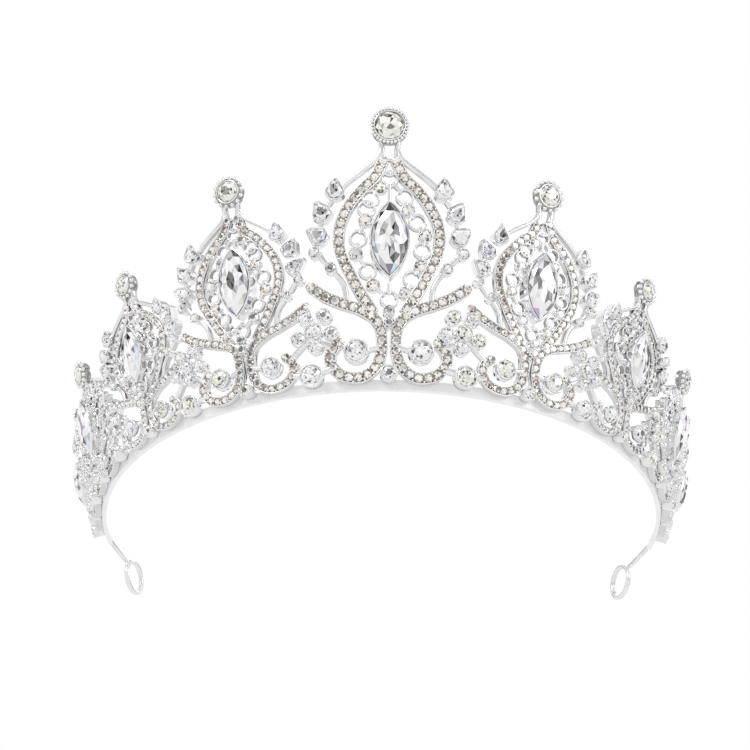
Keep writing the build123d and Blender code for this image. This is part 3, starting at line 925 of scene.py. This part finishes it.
def paveRows(panel):
    # stones down the middle of each band, with a pair of beads between neighbours
    stones = []
    grains = []
    size = accentLook["paveRadius"] * max(panel["small"], bandLook["paveLeast"])
    pitch = accentLook["pavePitch"] * max(panel["small"], bandLook["paveLeast"])
    width = accentLook["grainRadius"] * max(panel["small"], bandLook["wireLeast"])
    grainSize = (width, width, width * accentLook["grainTall"])
    for flip in (1, -1):
        for points in (motif["ogee"], motif["scroll"]):
            line = smoothLine(scaledLine(panel, points, flip), pitch / 2)
            for index, (x, height) in enumerate(line):
                if height < size + accentLook["paveFoot"]:
                    continue
                if index % 2 == 0:
                    place = wallPlace(panel["angle"], x * panel["side"], height, accentLook["paveLift"])
                    stones.append((turned(place, accentLook["paveTurn"] * index), (size, size, size)))
                    continue
                ahead = line[min(index + 1, len(line) - 1)] - line[index - 1]
                across = Vector((ahead.y, -ahead.x)).normalized() * size * accentLook["grainReach"]
                for hand in (1, -1):
                    spot = Vector((x, height)) + across * hand
                    grains.append((wallPlace(panel["angle"], spot.x * panel["side"], spot.y,
                                             accentLook["grainLift"]), grainSize))
    for x, height, kind, radius in chainSpots(panel):
        if kind == "stone":
            place = wallPlace(panel["angle"], x * panel["side"], height, accentLook["filigreeLift"])
            stones.append((turned(place, accentLook["filigreeTurn"]), (radius, radius, radius)))
            for corner in range(4):
                turn = math.radians(45 + 90 * corner)
                reach = radius * 0.98
                grain = wallPlace(panel["angle"], (x + reach * math.cos(turn)) * panel["side"],
                                  height + reach * math.sin(turn), accentLook["grainLift"])
                grains.append((grain, accentLook["filigreeGrain"]))
    return stones, grains


def makeSide(label, panels, joints, seed):
    # all the small settings and stones of one side, or of the front panel
    rounds = []
    leaves = []
    pave = []
    grains = []
    for panel in panels:
        some, pointed = accentPlaces(panel)
        rounds += some
        leaves += pointed
        stones, beads = paveRows(panel)
        pave += stones
        grains += beads
        for x, height, kind, radius in chainSpots(panel):
            if kind == "stone":
                place = wallPlace(panel["angle"], x * panel["side"], height)
                rounds.append((place, -radius))
    for side in joints:
        for edge in range(len(ring["edges"])):
            rounds += jointPlaces(edge, side)
    cupPlaces = []
    stonePlaces = []
    grandPlaces = []
    lift = Matrix.Translation(Vector((0, 0, accentLook["cupLift"])) * mm)
    sink = Matrix.Translation(Vector((0, 0, accentLook["padSink"])) * mm)
    for index, (place, size) in enumerate(rounds):
        if size < 0:
            # a low cup with no prongs, under a filigree stone
            cupPlaces.append((place @ sink, (-size, -size, 0.5)))
            continue
        cupPlaces.append((place, (size, size, 1)))
        grand = size > accentLook["grandRadius"]
        seat = turned(place @ lift, accentLook["stoneTurn"] * index)
        dome = size * (accentLook["grandDome"] if grand else 1)
        (grandPlaces if grand else stonePlaces).append((seat, (size, size, dome)))
        count = 6 if grand else 4
        bead = accentLook["prongRadius"] * (1.0 if grand else accentLook["prongSmaller"])
        reach = size * accentLook["prongReach"]
        for corner in range(count):
            turn = math.radians(45 + 360 * corner / count)
            spot = Vector((math.cos(turn) * reach, math.sin(turn) * reach, accentLook["prongHeight"]))
            grains.append((place @ Matrix.Translation(spot * mm), (bead, bead, bead)))
    leafCups, leafStones = makeLeaves(leaves, seed)
    cups = [setShapes("cup", cupPlaces, finishes["settingPlate"])] + leafCups
    cups.append(setShapes("bead", grains, finishes["settingPlate"]))
    addPiece(f"{label}_settings", cups, finishes["settingPlate"], [f"{label}_accent_cups"])
    stones = [setShapes("roundStone", stonePlaces, finishes["clearStone"], seed)] + leafStones
    stones.append(setShapes("topStone", grandPlaces, finishes["clearStone"], seed + 3))
    addPiece(f"{label}_stones", stones, finishes["clearStone"], [f"{label}_accent_stones"])
    rows = [setShapes("paveStone", pave, finishes["paveStone"], seed)]
    addPiece(f"{label}_pave", rows, finishes["paveStone"], [f"{label}_pave_stones"])


centrePanel = makePanel(0, 1)
sidePanels = {
    "right": [makePanel(index, 1) for index in range(1, 5)],
    "left": [makePanel(index, -1) for index in range(1, 5)],
}
for panel in [centrePanel] + sidePanels["right"] + sidePanels["left"]:
    castPanel(panel)
    makeFinial(panel)
    makeMarquise(panel)
print("panels made")
sideSeeds = {"centre": 31, "right": 47, "left": 59}
makeSide("centre", [centrePanel], [], sideSeeds["centre"])
makeSide("right", sidePanels["right"], [1], sideSeeds["right"])
makeSide("left", sidePanels["left"], [-1], sideSeeds["left"])
print("stones set")

# the rim band and the end wires keep their own shapes
ownShapes = {"rim_band": "rimPlate", "left_end_wire": "wirePlate", "right_end_wire": "wirePlate"}
for node, finish in ownShapes.items():
    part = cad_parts[node]
    part.data.materials.clear()
    part.data.materials.append(finishes[finish])


# Floor, light and camera.

studio = {
    "floorDrop": 0.0005,
    "floorSize": 6.0,
    "paper": (0.7, 0.7, 0.7),
    "paperGlow": (0.86, 0.86, 0.86),   # how the floor shows in polished metal
    "cameraTilt": -29.0,           # degrees; the camera looks up from below the rim
    "cameraDistance": 0.738,
    "cameraTurn": -1.4,            # degrees round the object, to its left
    "lookAt": (0.0, 0.0, 0.030),   # from the middle of the ring
    "lens": 138.8,
    "aimRight": -0.14,             # degrees off the look-at point
    "aimUp": 0.93,
    "lampAim": (0, 0, 0.03),
    "lamps": {                     # place, size in metres, watts
        "key": ((-0.5, -0.7, 0.55), 0.3, 1.6),
        "fill": ((0.7, -0.5, 0.3), 0.4, 0.8),
        "back": ((0.1, 0.6, 0.7), 0.4, 1.2),
    },
    "roomScale": 5.0,
    "roomTones": [(0.33, (0.01, 0.01, 0.012)), (0.39, (0.22, 0.22, 0.23)), (0.45, (0.8, 0.8, 0.81)),
                  (0.53, (1.0, 1.0, 1.0))],
}


def makeFloor():
    half = studio["floorSize"] / 2
    low = -studio["floorDrop"]
    mesh = bpy.data.meshes.new("floor")
    mesh.from_pydata([(-half, -half, low), (half, -half, low), (half, half, low), (-half, half, low)], [],
                     [(0, 1, 2, 3)])
    finish, nodes, links, shader = newFinish("paperFloor")
    shader.inputs["Base Color"].default_value = (*studio["paper"], 1)
    shader.inputs["Roughness"].default_value = 0.9
    clear = nodes.new("ShaderNodeBsdfTransparent")
    side = nodes.new("ShaderNodeNewGeometry")
    mix = nodes.new("ShaderNodeMixShader")
    even = nodes.new("ShaderNodeEmission")
    even.inputs["Color"].default_value = (*studio["paperGlow"], 1)
    path = nodes.new("ShaderNodeLightPath")
    calm = nodes.new("ShaderNodeMixShader")
    links.new(path.outputs["Is Camera Ray"], calm.inputs["Fac"])
    links.new(even.outputs["Emission"], calm.inputs[1])
    links.new(shader.outputs["BSDF"], calm.inputs[2])
    links.new(side.outputs["Backfacing"], mix.inputs["Fac"])
    links.new(calm.outputs["Shader"], mix.inputs[1])
    links.new(clear.outputs["BSDF"], mix.inputs[2])
    output = next(node for node in nodes if node.type == "OUTPUT_MATERIAL")
    links.new(mix.outputs["Shader"], output.inputs["Surface"])
    mesh.materials.append(finish)
    floor = bpy.data.objects.new("floor", mesh)
    bpy.context.collection.objects.link(floor)


def makeWorld():
    # a white room with dark gaps between its screens, which polished metal needs
    world = bpy.data.worlds.new("studio")
    world.use_nodes = True
    bpy.context.scene.world = world
    nodes = world.node_tree.nodes
    links = world.node_tree.links
    nodes.clear()
    output = nodes.new("ShaderNodeOutputWorld")
    room = nodes.new("ShaderNodeBackground")
    plain = nodes.new("ShaderNodeBackground")
    plain.inputs["Color"].default_value = (1, 1, 1, 1)
    plain.inputs["Strength"].default_value = 1.0
    where = nodes.new("ShaderNodeTexCoord")
    noise = nodes.new("ShaderNodeTexNoise")
    noise.inputs["Scale"].default_value = studio["roomScale"]
    noise.inputs["Detail"].default_value = 1.0
    links.new(where.outputs["Generated"], noise.inputs["Vector"])
    ramp = addRamp(nodes, studio["roomTones"])
    links.new(noise.outputs["Fac"], ramp.inputs["Fac"])
    links.new(ramp.outputs["Color"], room.inputs["Color"])
    room.inputs["Strength"].default_value = 1.0
    path = nodes.new("ShaderNodeLightPath")
    mix = nodes.new("ShaderNodeMixShader")
    links.new(path.outputs["Is Camera Ray"], mix.inputs["Fac"])
    links.new(room.outputs["Background"], mix.inputs[1])
    links.new(plain.outputs["Background"], mix.inputs[2])
    links.new(mix.outputs["Shader"], output.inputs["Surface"])


def makeLight(name, place, size, power):
    lamp = bpy.data.lights.new(name, "AREA")
    lamp.size = size
    lamp.energy = power
    holder = bpy.data.objects.new(name, lamp)
    holder.location = place
    aim = Vector(studio["lampAim"]) - Vector(place)
    holder.rotation_euler = aim.to_track_quat("-Z", "Y").to_euler()
    bpy.context.collection.objects.link(holder)


def makeCamera():
    camera = bpy.data.cameras.new("camera")
    camera.lens = studio["lens"]
    camera.sensor_width = 36.0
    camera.clip_start = 0.01
    holder = bpy.data.objects.new("camera", camera)
    tilt = math.radians(studio["cameraTilt"])
    turn = math.radians(studio["cameraTurn"])
    ahead = Matrix.Rotation(turn, 3, "Z") @ Vector((0, math.cos(tilt), -math.sin(tilt)))
    target = Vector(studio["lookAt"]) + Vector((0, ringMiddle * mm, 0))
    holder.location = target - ahead * studio["cameraDistance"]
    view = Euler((math.radians(90 - studio["cameraTilt"] + studio["aimUp"]), 0,
                  turn - math.radians(studio["aimRight"])), "XYZ")
    holder.rotation_euler = view
    bpy.context.collection.objects.link(holder)
    bpy.context.scene.camera = holder


makeFloor()
makeWorld()
for name, (place, size, power) in studio["lamps"].items():
    makeLight(name, place, size, power)
makeCamera()
bpy.context.scene.view_settings.view_transform = "Standard"
print("studio ready")
